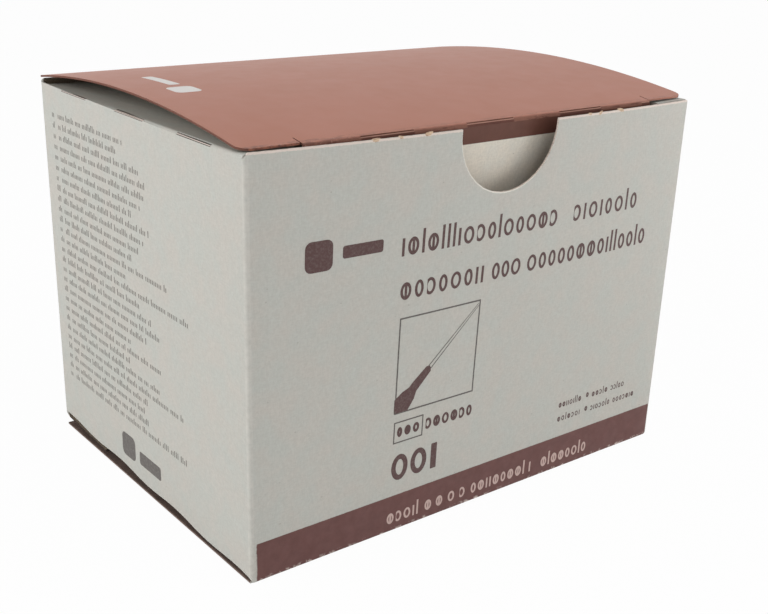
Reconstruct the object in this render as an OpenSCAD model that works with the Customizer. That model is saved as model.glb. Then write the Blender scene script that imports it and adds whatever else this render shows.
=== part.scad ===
// Folding carton for single-use hypodermic needles, with its strips of sealed pouches.
// The carton stands on its bottom flap. X runs across the front, -Y is the front, +Z is up.

/* [Carton] */
// Width of the carton across its front
carton_w = 140; // [110:1:200]
// Depth of the carton from front to back
carton_d = 104; // [80:1:150]
// Height of the front panel's top edge above the table
carton_h = 102; // [80:1:140]
// Thickness of the folding board
board_t = 0.5; // [0.4:0.05:0.7]
// Outside radius of the upright folds
fold_r = 0.9; // [0.8:0.1:2]
// How much higher the rear top fold is than the front panel's top edge
rear_rise = 1; // [0.8:0.1:3]
// Height of the side panels' bottom folds at the front
front_lift = 0.7; // [0.6:0.1:1.5]
// Height of the side panels' bottom folds at the rear, where the glued flaps are thickest
rear_lift = 3.6; // [2:0.1:5]
// Power by which those folds rise towards the rear
rise_fade = 0.75; // [0.6:0.05:1]
// Height of the rear panel's bottom fold
rear_wall_lift = 1.8; // [1.4:0.1:3]
// Height of the waves that the cut bottom folds show
fold_wave = 0.4; // [0:0.05:0.6]
// How far each side panel leans outwards at its top fold
wall_flare = 0.9; // [0:0.1:1.5]

/* [Front panel] */
// How far the top edge bows outwards at mid-width
front_bow = 3.6; // [0:0.1:6]
// Power by which the bow fades towards the bottom fold
bow_fade = 1.5; // [1:0.1:3]
// How much lower the free top edge is at its right end
front_fall = 0.7; // [0:0.1:0.9]
// Radius of the thumb notch
notch_r = 15.5; // [8:0.5:20]
// Depth of the notch's straight run above its half round
notch_drop = 1.2; // [0:0.1:5]
// How far the notch lies to the right of the middle
notch_shift = 0.8; // [0:0.1:3]

/* [Lid] */
// Rise of the lid's crown above the line between its two folds
lid_crown = 4; // [1:0.1:8]
// Clearance from each side edge of the lid to the outside of the carton
lid_side_gap = 0.2; // [0.1:0.1:2]
// Radius of the lid's front corners
lid_corner_r = 3; // [1:0.5:6]
// Distance of the lid's front fold behind the front panel's plane
lid_setback = 1; // [0.8:0.1:2]
// Outside radius of the lid's front fold
lid_fold_r = 1; // [0.8:0.1:2]
// Height of the tuck flap that goes behind the front panel
tuck_h = 20; // [12:1:28]
// Radius of the tuck flap's lower corners
tuck_corner_r = 9; // [3:1:12]
// Spare lean of the tuck flap, past what it needs to swing clear of the front panel
tuck_spare = 1.4; // [0.5:0.1:4]
// Length of the slit lock at each end of the lid's front fold
lock_slit = 15; // [8:0.5:25]
// Length of the cut that runs on from each slit's inner end into the lid
lock_relief = 3; // [1:0.5:6]
// Clearance between the lid and the folded walls
fold_gap = 0.3; // [0.2:0.05:0.6]

/* [Flaps] */
// Length of each dust flap, from its side fold inwards
dust_flap_l = 46; // [30:1:52]
// Angle by which the dust flaps sag
dust_sag = 1.5; // [0:0.1:3]
// Distance of the dust flaps' front edges behind the front panel's plane
dust_setback = 5; // [4:0.5:10]
// Length of the shoulder that each dust flap keeps beside the tuck flap
shoulder_l = 12; // [6:0.5:13]
// Cut-back of the dust and side bottom flaps' edges from the walls they would rub on
flap_clearance = 1; // [0.5:0.1:2]
// Width and length of the slanted corners of the dust flaps
flap_taper = 5; // [2:0.5:8]
// Depth of the rear inner bottom flap
rear_flap_l = 25; // [15:1:35]
// Length of each side bottom flap
side_flap_l = 48; // [30:1:52]
// Distance of the outer bottom flap's free edge from the rear wall
outer_flap_gap = 1; // [0.5:0.5:6]
// Distance of the outer bottom flap's side edges from the outside of the carton
outer_flap_side_gap = 0.2; // [0.1:0.1:1]
// Width of the glue lap inside the right rear corner
glue_lap_w = 14; // [8:1:20]
// Cut-back of the glue lap's ends from the top and bottom folds
glue_lap_end = 2; // [1:0.5:6]

/* [Cut folds] */
// Length of each cut along the folds of the lid and the dust flaps
slit_l = 15; // [8:1:20]
// Distance between the middles of two neighbouring cuts
slit_pitch = 31; // [24:1:36]
// Number of cuts along each fold
slits = 3; // [1:2:3]
// Width of each cut
slit_w = 0.3; // [0.2:0.05:0.5]
// How far the cuts lie to the left of the middle of the lid
slit_shift = 2; // [0:0.5:4]

/* [Needle packs] */
// Width of one sealed pouch in a strip
pouch_w = 19; // [16:0.5:24]
// Thickness of a strip's sealed web of paper and film
web_t = 0.5; // [0.3:0.1:1]
// Depth of the formed pocket below the web
pocket_h = 8.2; // [7:0.1:10]
// Width of the pocket round the needle's hub
hub_pocket_w = 10.5; // [8:0.5:13]
// Width of the pocket round the needle's shield
shield_pocket_w = 8; // [6:0.5:8]
// Length of the pocket round the hub
hub_pocket_l = 15; // [10:1:20]
// Length of the whole pocket
pocket_l = 44; // [35:1:46]
// Flat crown of each pocket, on which the strip lies
pocket_crown_w = 4; // [3:0.5:5]
// Gap between the two stacks of strips
stack_gap = 2; // [1:0.5:6]
// Gap between a stack and the side walls
stack_side_gap = 1.2; // [0.8:0.1:4]
// Gap between the stacks and the rear wall, at the bottom
stack_rear_gap = 2; // [1:0.5:6]
// Room kept between the stacks and the front panel for the tuck flap
tuck_room = 6; // [5.5:0.5:10]
// Room kept between the top strip and the dust flaps
stack_headroom = 8; // [6:1:20]

/* [Hidden] */
$fn = 48;

// Folds and edges that follow from the sizes above
half_w = carton_w / 2;
half_d = carton_d / 2;
top_half_w = half_w + wall_flare;
bottom_fold_r = (board_t + fold_r) / 2;
hinge_z = carton_h + rear_rise;
lid_front_y = -half_d + lid_setback;
lid_front_z = carton_h + fold_gap;
side_top_front = lid_front_z - board_t - fold_gap;
side_top_rear = hinge_z - board_t - fold_gap;
lid_half_w = top_half_w - lid_side_gap;
lid_reach = half_d - lid_front_y;
tuck_half_w = lid_half_w - lock_slit;
tuck_lean = asin(tuck_h / (2 * lid_reach)) + tuck_spare;
bottom_slope = atan((rear_lift - front_lift) / carton_d);
cut_row = (slits - 1) / 2;
overlap = 0.05;

// Stations of the wall sheet
fold_angles = [90, 60, 30];
corner_steps = 4;
wall_levels = 7;
notch_steps = 16;
front_steps = 9;
side_steps = 26;
arch_steps = 32;
tuck_fold_steps = 8;

// How far the side bottom flaps crown above the straight line between their ends
crown_rises = [for (t = [0 : 0.05 : 1]) pow(t, rise_fade) - t];
bottom_crown = (rear_lift - front_lift) * max(crown_rises) + overlap;

// Strips: how many fit, and where the first one lies
pack_l = (carton_w - 2 * (board_t + stack_side_gap) - stack_gap) / 2;
pouches = floor((carton_d - tuck_room - board_t - stack_rear_gap) / pouch_w);
strip_w = pouches * pouch_w;
strip_pitch = web_t + pocket_h;
strip_centre_y = half_d - board_t - stack_rear_gap - strip_w / 2;
stack_base_z = (front_lift + rear_lift) / 2 + board_t + bottom_crown;
flap_tip_z = side_top_front - board_t - dust_flap_l * sin(dust_sag);
layers = floor((flap_tip_z - stack_headroom - stack_base_z) / strip_pitch);
web_corner_r = 2;
perforation_d = 0.2;
perforation_w = 0.4;
pocket_inset = 9;

strip_sides = ["left", "right"];
strip_names = [for (side = strip_sides) for (i = [1 : layers]) str("needle_strip_", side, "_", i)];

// Height of the side panels' top edge at a depth y
function side_top(y) = side_top_front + (side_top_rear - side_top_front) * (y + half_d) / carton_d;

// Share of the way from the front panel to the rear wall at a depth y
function rise_share(y) = (y + half_d) / carton_d;

// Height of the side panels' bottom fold line at a depth y
function bottom_line(y) = front_lift + (rear_lift - front_lift) * pow(rise_share(y), rise_fade);

// The side panels' bottom edge rises between the cuts of its fold
function side_bottom(y) = bottom_line(y) + fold_wave * cos(360 * (y + slit_pitch / 2) / slit_pitch);

// Share of the bow at a place x along the front panel
function bow_share(x) = 1 - pow(x / (half_w - fold_r), 2);

// Outward bow of the front panel at a height z
function bow(x, z) =
    front_bow * max(0, bow_share(x)) * pow(max(0, z - bottom_fold_r) / (carton_h - bottom_fold_r), bow_fade);

// Free top edge of the front panel, which falls a little to the right
function front_edge(x) = carton_h - front_fall * max(0, x) / half_w;

// Edge of the thumb notch, a half round below a short straight run
function notch_edge(x) = front_edge(x) - notch_drop - sqrt(notch_r * notch_r - pow(x - notch_shift, 2));

// A station of the wall sheet: outer place, outward direction, lower end, upper end, front panel or not
function corner_station(cx, cy, angle, low, high) =
    [cx + fold_r * cos(angle), cy + fold_r * sin(angle), cos(angle), sin(angle), low, high, 0];

function corner_run(cx, cy, from, low_a, low_b, high_a, high_b) = [
    for (i = [0 : corner_steps])
        let (t = i / corner_steps)
        corner_station(cx, cy, from + 90 * t, low_a + (low_b - low_a) * t, high_a + (high_b - high_a) * t)
];

function front_station(x, high) = [x, -half_d, 0, -1, 0, high, 1];

// Places of the front panel's stations: left of the notch, along its round edge, right of it
front_half = half_w - fold_r;
notch_left = notch_shift - notch_r;
notch_right = notch_shift + notch_r;
left_places = [for (i = [1 : front_steps]) -front_half + (notch_left + front_half) * i / front_steps];
notch_places = [for (i = [1 : notch_steps]) notch_shift - notch_r * cos(180 * (i - 0.5) / notch_steps)];
right_places = [for (i = [0 : front_steps - 1]) notch_right + (front_half - notch_right) * i / front_steps];
front_arc_y = -half_d + fold_r;
rear_arc_y = half_d - fold_r;
side_places = [for (i = [1 : side_steps - 1]) front_arc_y + (rear_arc_y - front_arc_y) * i / side_steps];
side_low_front = side_bottom(front_arc_y);
side_low_rear = side_bottom(rear_arc_y);
side_high_front = side_top_front - fold_r;
side_high_rear = side_top_rear - fold_r;

left_corner_z = front_edge(-front_half);
right_corner_z = front_edge(front_half);

wall_stations = concat(
    corner_run(-front_half, front_arc_y, 180, side_low_front, 0, side_high_front, left_corner_z),
    [for (x = left_places) front_station(x, front_edge(x))],
    [for (x = notch_places) front_station(x, notch_edge(x))],
    [for (x = right_places) front_station(x, front_edge(x))],
    corner_run(front_half, front_arc_y, 270, 0, side_low_front, right_corner_z, side_high_front),
    [for (y = side_places) [half_w, y, 1, 0, side_bottom(y), side_top(y) - fold_r, 0]],
    corner_run(front_half, rear_arc_y, 0, side_low_rear, rear_wall_lift, side_high_rear, side_top_rear),
    corner_run(-front_half, rear_arc_y, 90, rear_wall_lift, side_low_rear, side_top_rear, side_high_rear),
    [for (i = [1 : side_steps - 1])
        let (y = side_places[side_steps - 1 - i])
        [-half_w, y, -1, 0, side_bottom(y), side_top(y) - fold_r, 0]]
);

// A point of the wall sheet at a station s: height z, inset from the outer face
function wall_point(s, z, inset) =
    let (
        share = s[6] > 0 ? z / carton_h : (z - s[4]) / (s[5] - s[4]),
        push = s[6] > 0 ? bow(s[0], z) : 0
    )
    [s[0] * (1 + wall_flare * share / half_w) - s[2] * inset, s[1] - s[3] * inset - push, z];

// The rounded bottom fold at a station, from its lowest point up
function fold_points(s, r) = [
    for (angle = fold_angles)
        wall_point(s, s[4] + bottom_fold_r - r * sin(angle), bottom_fold_r - r * cos(angle))
];

function rise_points(s, inset) = [
    for (j = [0 : wall_levels - 1])
        let (low = s[4] + bottom_fold_r)
        wall_point(s, low + (s[5] - low) * j / (wall_levels - 1), inset)
];

function reversed(list) = [for (i = [len(list) - 1 : -1 : 0]) list[i]];

// Four upright walls as one sheet of board, from the fold of the front panel round to itself
module wall_sheet() {
    stations = len(wall_stations);
    ring = 2 * (wall_levels + len(fold_angles));
    points = [
        for (s = wall_stations)
            each concat(
                fold_points(s, bottom_fold_r),
                rise_points(s, 0),
                reversed(rise_points(s, board_t)),
                reversed(fold_points(s, bottom_fold_r - board_t))
            )
    ];
    faces = [
        for (i = [0 : stations - 1])
            for (k = [0 : ring - 1])
                let (
                    a = i * ring + k,
                    b = i * ring + (k + 1) % ring,
                    c = ((i + 1) % stations) * ring + (k + 1) % ring,
                    d = ((i + 1) % stations) * ring + k
                )
                each [[a, b, c], [a, c, d]]
    ];
    polyhedron(points = points, faces = faces, convexity = 10);
}

// Quarter round of board where two panels meet, at the corner of a profile
module fold_arc(r) {
    intersection() {
        difference() {
            circle(r = r);
            circle(r = r - board_t);
        }
        square(r);
    }
}

// Outer bottom flap, which the carton stands on, from the front panel's fold
module outer_bottom_flap() {
    flap_half_w = half_w - outer_flap_side_gap;
    translate([-flap_half_w, -half_d + bottom_fold_r, 0])
        cube([2 * flap_half_w, carton_d - bottom_fold_r - outer_flap_gap, board_t]);
}

// Rear inner bottom flap, which slopes down onto the outer one
module rear_bottom_flap() {
    start_y = half_d - bottom_fold_r;
    tip_y = half_d - rear_flap_l;
    tip_z = board_t + fold_gap;
    rotate([90, 0, 90])
        translate([0, 0, -front_half])
            linear_extrude(height = 2 * front_half)
                polygon([
                    [start_y, rear_wall_lift],
                    [start_y, rear_wall_lift + board_t],
                    [tip_y, tip_z + board_t],
                    [tip_y, tip_z]
                ]);
}

// Side bottom flap, hinged along the side panel's bottom fold
module side_bottom_flap(side) {
    start_x = half_w - bottom_fold_r + overlap;
    start_y = front_arc_y + flap_clearance;
    end_y = half_d - board_t - flap_clearance;
    line = [
        for (i = [0 : side_steps])
            let (y = start_y + (end_y - start_y) * i / side_steps)
            [y, bottom_line(y)]
    ];
    rotate([90, 0, 90])
        translate([0, 0, side > 0 ? half_w - side_flap_l : -start_x])
            linear_extrude(height = start_x - half_w + side_flap_l)
                polygon(concat(line, [for (p = reversed(line)) p + [0, board_t]]));
}

// Plan outline of a dust flap, from its fold inwards: full at the shoulder, cut back beside the tuck
module dust_flap_outline() {
    front = front_arc_y;
    cut_front = -half_d + dust_setback;
    rear = half_d - board_t - flap_clearance;
    polygon([
        [0, front],
        [shoulder_l, front],
        [shoulder_l + 1, cut_front],
        [dust_flap_l - flap_taper, cut_front],
        [dust_flap_l, cut_front + 2 * flap_taper],
        [dust_flap_l, rear - 2 * flap_taper],
        [dust_flap_l - flap_taper, rear],
        [0, rear]
    ]);
}

// Dust flap of the right side, sagging a little from its rounded and slit fold
module dust_flap() {
    fold_slope = atan((side_top_rear - side_top_front) / carton_d);
    difference() {
        intersection() {
            translate([top_half_w - fold_r, -half_d, side_high_front])
                rotate([90 + fold_slope, 0, 180])
                    mirror([1, 0, 0])
                        linear_extrude(height = 2 * half_d)
                            union() {
                                fold_arc(fold_r);
                                rotate(dust_sag)
                                    translate([-dust_flap_l, fold_r - board_t])
                                        square([dust_flap_l + overlap, board_t]);
                            }
            translate([top_half_w, 0, 0])
                mirror([1, 0, 0])
                    linear_extrude(height = 2 * carton_h)
                        dust_flap_outline();
        }
        for (i = [-cut_row : cut_row])
            translate([
                top_half_w - (fold_r + slit_w) / 2,
                i * slit_pitch - slit_l / 2,
                side_high_front - fold_r
            ])
                cube([slit_w, slit_l, 4 * fold_r]);
    }
}

// Glue lap that joins the rear and right walls on the inside, leaning with the right wall
module glue_lap() {
    wall_lean = atan(wall_flare / (side_high_rear - rear_lift));
    lap_h = side_high_front - rear_lift - 2 * glue_lap_end;
    translate([half_w, 0, rear_lift])
        rotate([0, wall_lean, 0])
            translate([-2 * board_t, half_d - board_t - glue_lap_w, glue_lap_end])
                cube([board_t + overlap, glue_lap_w + overlap, lap_h]);
}

module carton_body() {
    color("#cbc8bf")
        union() {
            wall_sheet();
            outer_bottom_flap();
            rear_bottom_flap();
            side_bottom_flap(1);
            side_bottom_flap(-1);
            dust_flap();
            mirror([1, 0, 0])
                dust_flap();
            glue_lap();
        }
}

// Centre line values of the lid's profile, in the plane across its hinge
fold_centre = [lid_front_y + lid_fold_r, lid_front_z - lid_fold_r];
arch_end_angle = atan(4 * lid_crown / (lid_reach - lid_fold_r));
arch_end = fold_centre + lid_fold_r * [-sin(arch_end_angle), cos(arch_end_angle)];
tuck_dir = [sin(tuck_lean), -cos(tuck_lean)];
tuck_start = fold_centre + lid_fold_r * [-cos(tuck_lean), -sin(tuck_lean)];
tuck_end = tuck_start + (tuck_h - lid_fold_r) * tuck_dir;

// A point of the crowned panel at a share u of the way from the hinge to the front fold
function arch_point(u, inset) =
    let (
        run = arch_end - [half_d, hinge_z],
        slope = [run[0], run[1] + 4 * lid_crown * (1 - 2 * u)],
        outward = [slope[1], -slope[0]] / norm(slope)
    )
    [half_d, hinge_z] + u * run + [0, 4 * lid_crown * u * (1 - u)] - inset * outward;

// A point of the rounded front fold, at an angle from upright
function fold_point(angle, inset) =
    fold_centre + (lid_fold_r - inset) * [-sin(angle), cos(angle)];

function lid_edge(inset) = concat(
    [for (i = [0 : arch_steps]) arch_point(i / arch_steps, inset)],
    [for (i = [1 : tuck_fold_steps])
        fold_point(arch_end_angle + (90 + tuck_lean - arch_end_angle) * i / tuck_fold_steps, inset)],
    [tuck_end + inset * [cos(tuck_lean), sin(tuck_lean)]]
);

// What rounding a corner takes away: the corner's square less a circle round the origin
module corner_waste(r, margin) {
    difference() {
        square(r + margin);
        circle(r = r);
    }
}

// Everything cut from one end of the lid: the slit lock, and the corners of the panel and the tuck flap
module lid_end_cuts() {
    margin = 1;
    free_edge_y = lid_front_y + lid_fold_r;
    union() {
        translate([tuck_half_w, lid_front_y - margin, 0])
            cube([lock_slit + margin, margin + lid_fold_r, 2 * carton_h]);
        translate([tuck_half_w, lid_front_y - margin, 0])
            cube([lock_slit + margin, tuck_h, lid_front_z - board_t - fold_gap]);
        translate([tuck_half_w, lid_front_y, 0])
            cube([slit_w, lid_fold_r + lock_relief, 2 * carton_h]);
        translate([lid_half_w - lid_corner_r, free_edge_y + lid_corner_r, lid_front_z - board_t - fold_gap])
            mirror([0, 1, 0])
                linear_extrude(height = 2 * lid_crown)
                    corner_waste(lid_corner_r, margin);
        translate([tuck_half_w - tuck_corner_r, lid_front_y - margin, tuck_end[1] + tuck_corner_r])
            rotate([-90, 0, 0])
                linear_extrude(height = tuck_h)
                    corner_waste(tuck_corner_r, margin);
    }
}

// Crowned lid with its tuck flap, slit at both ends of the fold and along it
module lid() {
    color("#b2826f")
        difference() {
            rotate([90, 0, 90])
                translate([0, 0, -lid_half_w])
                    linear_extrude(height = 2 * lid_half_w)
                        polygon(concat(lid_edge(0), reversed(lid_edge(board_t))));
            lid_end_cuts();
            mirror([1, 0, 0])
                lid_end_cuts();
            for (i = [-cut_row : cut_row])
                translate([
                    i * slit_pitch - slit_shift - slit_l / 2,
                    lid_front_y + 0.3 * lid_fold_r,
                    fold_centre[1] - 0.2 * lid_fold_r
                ])
                    cube([slit_l, slit_w, 2 * lid_fold_r]);
        }
}

// Section of a formed pocket: straight walls, a half round and a flat crown to lie on
module pocket_section(w) {
    r = w / 2;
    centre_z = sqrt(r * r - pocket_crown_w * pocket_crown_w / 4);
    intersection() {
        union() {
            translate([0, centre_z])
                circle(r = r);
            translate([-r, centre_z])
                square([w, pocket_h + web_t / 2 - centre_z]);
        }
        translate([-r, 0])
            square([w, pocket_h + web_t / 2]);
    }
}

module pocket_run(w, l) {
    rotate([90, 0, 90])
        linear_extrude(height = l)
            pocket_section(w);
}

module rounded_plate(l, w, r) {
    union() {
        square([l - 2 * r, w], center = true);
        square([l, w - 2 * r], center = true);
        for (x = [-1, 1])
            for (y = [-1, 1])
                translate([x * (l / 2 - r), y * (w / 2 - r)])
                    circle(r = r);
    }
}

// One strip of sealed pouches, web upwards, each with a pocket for a needle in its shield
module strip() {
    difference() {
        union() {
            translate([0, 0, pocket_h])
                linear_extrude(height = web_t)
                    rounded_plate(pack_l, strip_w, web_corner_r);
            for (i = [0 : pouches - 1])
                translate([pack_l / 2 - pocket_inset, (i + 0.5) * pouch_w - strip_w / 2, 0])
                    mirror([1, 0, 0]) {
                        pocket_run(hub_pocket_w, hub_pocket_l);
                        pocket_run(shield_pocket_w, pocket_l);
                    }
        }
        for (i = [1 : pouches - 1])
            translate([
                -pack_l / 2 - 1,
                i * pouch_w - strip_w / 2 - perforation_w / 2,
                pocket_h + web_t - perforation_d
            ])
                cube([pack_l + 2, perforation_w, 1]);
    }
}

// A strip in its place: the stacks lie on the sloping bottom flaps, left and right of the middle
module needle_strip(side, level) {
    color("#ece9e1")
        translate([0, 0, stack_base_z])
            rotate([bottom_slope, 0, 0])
                translate([0, strip_centre_y, (level - 1) * strip_pitch])
                    mirror([side > 0 ? 0 : 1, 0, 0])
                        translate([(pack_l + stack_gap) / 2, 0, 0])
                            strip();
}

carton_body();
lid();
for (s = [0, 1])
    for (i = [1 : layers])
        needle_strip(s, i);
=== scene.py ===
import math
import random

import bpy
from mathutils import Matrix, Vector


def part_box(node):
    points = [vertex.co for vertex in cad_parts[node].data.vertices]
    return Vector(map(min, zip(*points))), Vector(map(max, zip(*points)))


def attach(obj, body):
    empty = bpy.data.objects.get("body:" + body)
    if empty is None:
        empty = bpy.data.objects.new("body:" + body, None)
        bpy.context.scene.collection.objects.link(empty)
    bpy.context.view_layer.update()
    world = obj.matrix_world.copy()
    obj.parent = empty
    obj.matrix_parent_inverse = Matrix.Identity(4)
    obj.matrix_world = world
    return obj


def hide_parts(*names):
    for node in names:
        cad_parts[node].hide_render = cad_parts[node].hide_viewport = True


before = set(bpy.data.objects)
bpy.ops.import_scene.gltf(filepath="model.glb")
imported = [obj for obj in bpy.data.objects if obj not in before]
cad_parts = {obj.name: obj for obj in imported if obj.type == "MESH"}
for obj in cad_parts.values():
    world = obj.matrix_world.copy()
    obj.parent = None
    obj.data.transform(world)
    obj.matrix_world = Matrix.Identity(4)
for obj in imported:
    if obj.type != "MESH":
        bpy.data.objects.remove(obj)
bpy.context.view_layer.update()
mm = 0.001
bodyLow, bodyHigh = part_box("carton_body")
lidLow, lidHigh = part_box("lid")
stripNames = sorted(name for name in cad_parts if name.startswith("needle_strip"))
print("frame loaded:", len(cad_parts), "nodes,", len(stripNames), "needle strips")


# Small helpers, used all over

def deselect():
    if bpy.context.object and bpy.context.object.mode != "OBJECT":
        bpy.ops.object.mode_set(mode="OBJECT")
    bpy.ops.object.select_all(action="DESELECT")


def only(*objs):
    # these objects selected, the first one active, and nothing else
    deselect()
    for obj in objs:
        obj.select_set(True)
    bpy.context.view_layer.objects.active = objs[0]


def editAll(obj):
    # obj in edit mode, with all of it selected
    only(obj)
    bpy.ops.object.mode_set(mode="EDIT")
    bpy.ops.mesh.select_all(action="SELECT")


def editFaces(obj, rule):
    # obj in edit mode, with only the faces that the rule accepts selected
    only(obj)
    bpy.ops.object.mode_set(mode="EDIT")
    bpy.ops.mesh.select_mode(type="FACE")
    bpy.ops.mesh.select_all(action="DESELECT")
    bpy.ops.object.mode_set(mode="OBJECT")
    for face in obj.data.polygons:
        face.select = rule(face)
    bpy.ops.object.mode_set(mode="EDIT")


def leaveEdit():
    bpy.ops.object.mode_set(mode="OBJECT")


def settle(obj):
    # place, turn and size go into the mesh, so the object stands at the origin
    only(obj)
    bpy.ops.object.transform_apply(location=True, rotation=True, scale=True)


def joined(objs, name):
    only(*objs)
    if len(objs) > 1:
        bpy.ops.object.join()
    whole = bpy.context.object
    settle(whole)
    whole.name = name
    whole.data.name = name
    return whole


def duplicate(obj):
    # a copy with a mesh of its own
    made = obj.copy()
    made.data = obj.data.copy()
    bpy.context.scene.collection.objects.link(made)
    return made


def applyModifier(obj, kind, **settings):
    only(obj)
    modifier = obj.modifiers.new(kind.lower(), kind)
    for key, value in settings.items():
        setattr(modifier, key, value)
    bpy.ops.object.modifier_apply(modifier=modifier.name)


def giveMaterial(obj, material):
    obj.data.materials.clear()
    obj.data.materials.append(material)


def srgb(red, green, blue):
    # a colour as it is seen, 0 to 255, made linear
    def channel(value):
        value /= 255
        return value / 12.92 if value <= 0.04045 else ((value + 0.055) / 1.055) ** 2.4
    return (channel(red), channel(green), channel(blue), 1.0)


# One material under construction, with Object coordinates at hand. Its patterns are output sockets

class Surface:
    def __init__(self, name):
        self.material = bpy.data.materials.new(name)
        self.material.use_nodes = True
        self.nodes = self.material.node_tree.nodes
        self.links = self.material.node_tree.links
        self.shader = self.nodes["Principled BSDF"]
        self.coords = self.nodes.new("ShaderNodeTexCoord").outputs["Object"]

    def feed(self, socket, value):
        if hasattr(value, "links"):
            self.links.new(value, socket)
        else:
            socket.default_value = value

    def place(self, scale=(1, 1, 1), turn=(0, 0, 0), shift=(0, 0, 0)):
        node = self.nodes.new("ShaderNodeMapping")
        self.feed(node.inputs["Vector"], self.coords)
        node.inputs["Scale"].default_value = scale
        node.inputs["Rotation"].default_value = turn
        node.inputs["Location"].default_value = shift
        return node.outputs["Vector"]

    def noise(self, scale, detail=3, roughness=0.5, vector=None):
        node = self.nodes.new("ShaderNodeTexNoise")
        self.feed(node.inputs["Vector"], vector or self.coords)
        node.inputs["Scale"].default_value = scale
        node.inputs["Detail"].default_value = detail
        node.inputs["Roughness"].default_value = roughness
        return node.outputs["Fac"]

    def fibres(self, scale, turn=(0, 0, 0)):
        # noise drawn out along the axes that have the smaller scales
        return self.noise(1.0, 3, 0.6, self.place(scale, turn))

    def specks(self, scale, vector=None):
        # distance to a cell's point, and the cell's own random number
        node = self.nodes.new("ShaderNodeTexVoronoi")
        self.feed(node.inputs["Vector"], vector or self.coords)
        node.inputs["Scale"].default_value = scale
        return node.outputs["Distance"], self.axis("X", node.outputs["Color"])

    def axis(self, letter, vector=None):
        node = self.nodes.new("ShaderNodeSeparateXYZ")
        self.feed(node.inputs[0], vector or self.coords)
        return node.outputs[letter]

    def math(self, kind, first, second=0.0):
        node = self.nodes.new("ShaderNodeMath")
        node.operation = kind
        self.feed(node.inputs[0], first)
        self.feed(node.inputs[1], second)
        return node.outputs[0]

    def plus(self, first, second):
        return self.math("ADD", first, second)

    def minus(self, first, second):
        return self.math("SUBTRACT", first, second)

    def times(self, first, second):
        return self.math("MULTIPLY", first, second)

    def larger(self, first, second):
        return self.math("MAXIMUM", first, second)

    def size(self, value):
        return self.math("ABSOLUTE", value)

    def fromRepeat(self, value, pitch):
        # distance to the nearest multiple of the pitch
        return self.math("PINGPONG", self.size(value), pitch / 2)

    def ramp(self, value, low, high, lowOut=0.0, highOut=1.0):
        # a straight run from lowOut to highOut between low and high
        node = self.nodes.new("ShaderNodeMapRange")
        self.feed(node.inputs["Value"], value)
        node.inputs["From Min"].default_value = low
        node.inputs["From Max"].default_value = high
        node.inputs["To Min"].default_value = lowOut
        node.inputs["To Max"].default_value = highOut
        return node.outputs["Result"]

    def past(self, value, edge, soft):
        # 0 up to the edge, and 1 from soft beyond it
        return self.ramp(value, edge, edge + soft)

    def upTo(self, value, edge, soft):
        # 1 up to soft before the edge, and 0 from the edge on
        return self.ramp(value, edge - soft, edge, 1.0, 0.0)

    def uneven(self, scale, low, high, detail=3, roughness=0.5):
        # noise spread over low to high
        return self.ramp(self.noise(scale, detail, roughness), 0.3, 0.7, low, high)

    def blend(self, share, under, over):
        node = self.nodes.new("ShaderNodeMix")
        node.data_type = "RGBA"
        self.feed(node.inputs["Factor"], share)
        self.feed(node.inputs[6], under)
        self.feed(node.inputs[7], over)
        return node.outputs[2]

    def bump(self, height, distance, strength):
        node = self.nodes.new("ShaderNodeBump")
        node.inputs["Strength"].default_value = strength
        node.inputs["Distance"].default_value = distance
        self.feed(node.inputs["Height"], height)
        self.links.new(node.outputs["Normal"], self.shader.inputs["Normal"])

    def finish(self, colour, roughness, specular):
        self.feed(self.shader.inputs["Base Color"], colour)
        self.feed(self.shader.inputs["Roughness"], roughness)
        self.shader.inputs["Specular IOR Level"].default_value = specular
        return self.material


# Colours of the board and its print

boardColours = {
    "grey": (200, 199, 191),
    "greyWarm": (202, 198, 190),
    "greyCool": (198, 199, 192),
    # the board's grey painted lighter for the tuck flap: painted light
    "tuckWarmPaintedLight": (233, 224, 209),
    "tuckCoolPaintedLight": (227, 222, 210),
    "fleck": (140, 134, 124),
    "maroon": (112, 76, 72),
    "maroonDeep": (102, 68, 64),
    "tuckInk": (104, 68, 57),
    "tuckInkDeep": (98, 63, 53),
    "rust": (178, 117, 96),
    "rustPale": (181, 120, 100),
    # fold ink darkened as painted shade; the pale tone is a painted highlight on the cut lips and also bare
    # board
    "foldInkShaded": (134, 92, 78),
    "foldInkDeepShade": (90, 55, 48),
    "foldLipHighlightAndBare": (190, 144, 126),
    "lidFoldDarkPatch": (106, 70, 60),
    "raw": (150, 136, 119),
    "rawDark": (139, 125, 108),
    "cutEdge": (228, 214, 204),
    "lidEdge": (124, 84, 72),
    "lidEdgeDark": (92, 64, 56),
    # the bottom flaps' raw edges, darkened by painted shade
    "footEdge": (134, 114, 106),
    "footEdgePaintedShade": (66, 57, 52),
    # painted shade inside the fold cuts
    "slit": (66, 58, 52),
    "crease": (213, 210, 202),
    # the notch's pale lip, partly worn board and partly painted highlight
    "rim": (234, 229, 219),
    "tuft": (232, 206, 176),
    "ink": (82, 54, 52),
    "fineInk": (84, 76, 70),
    "lineInk": (88, 82, 78),
    "paleInk": (200, 174, 166),
    "white": (238, 234, 230),
}
colour = {name: srgb(*value) for name, value in boardColours.items()}


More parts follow.
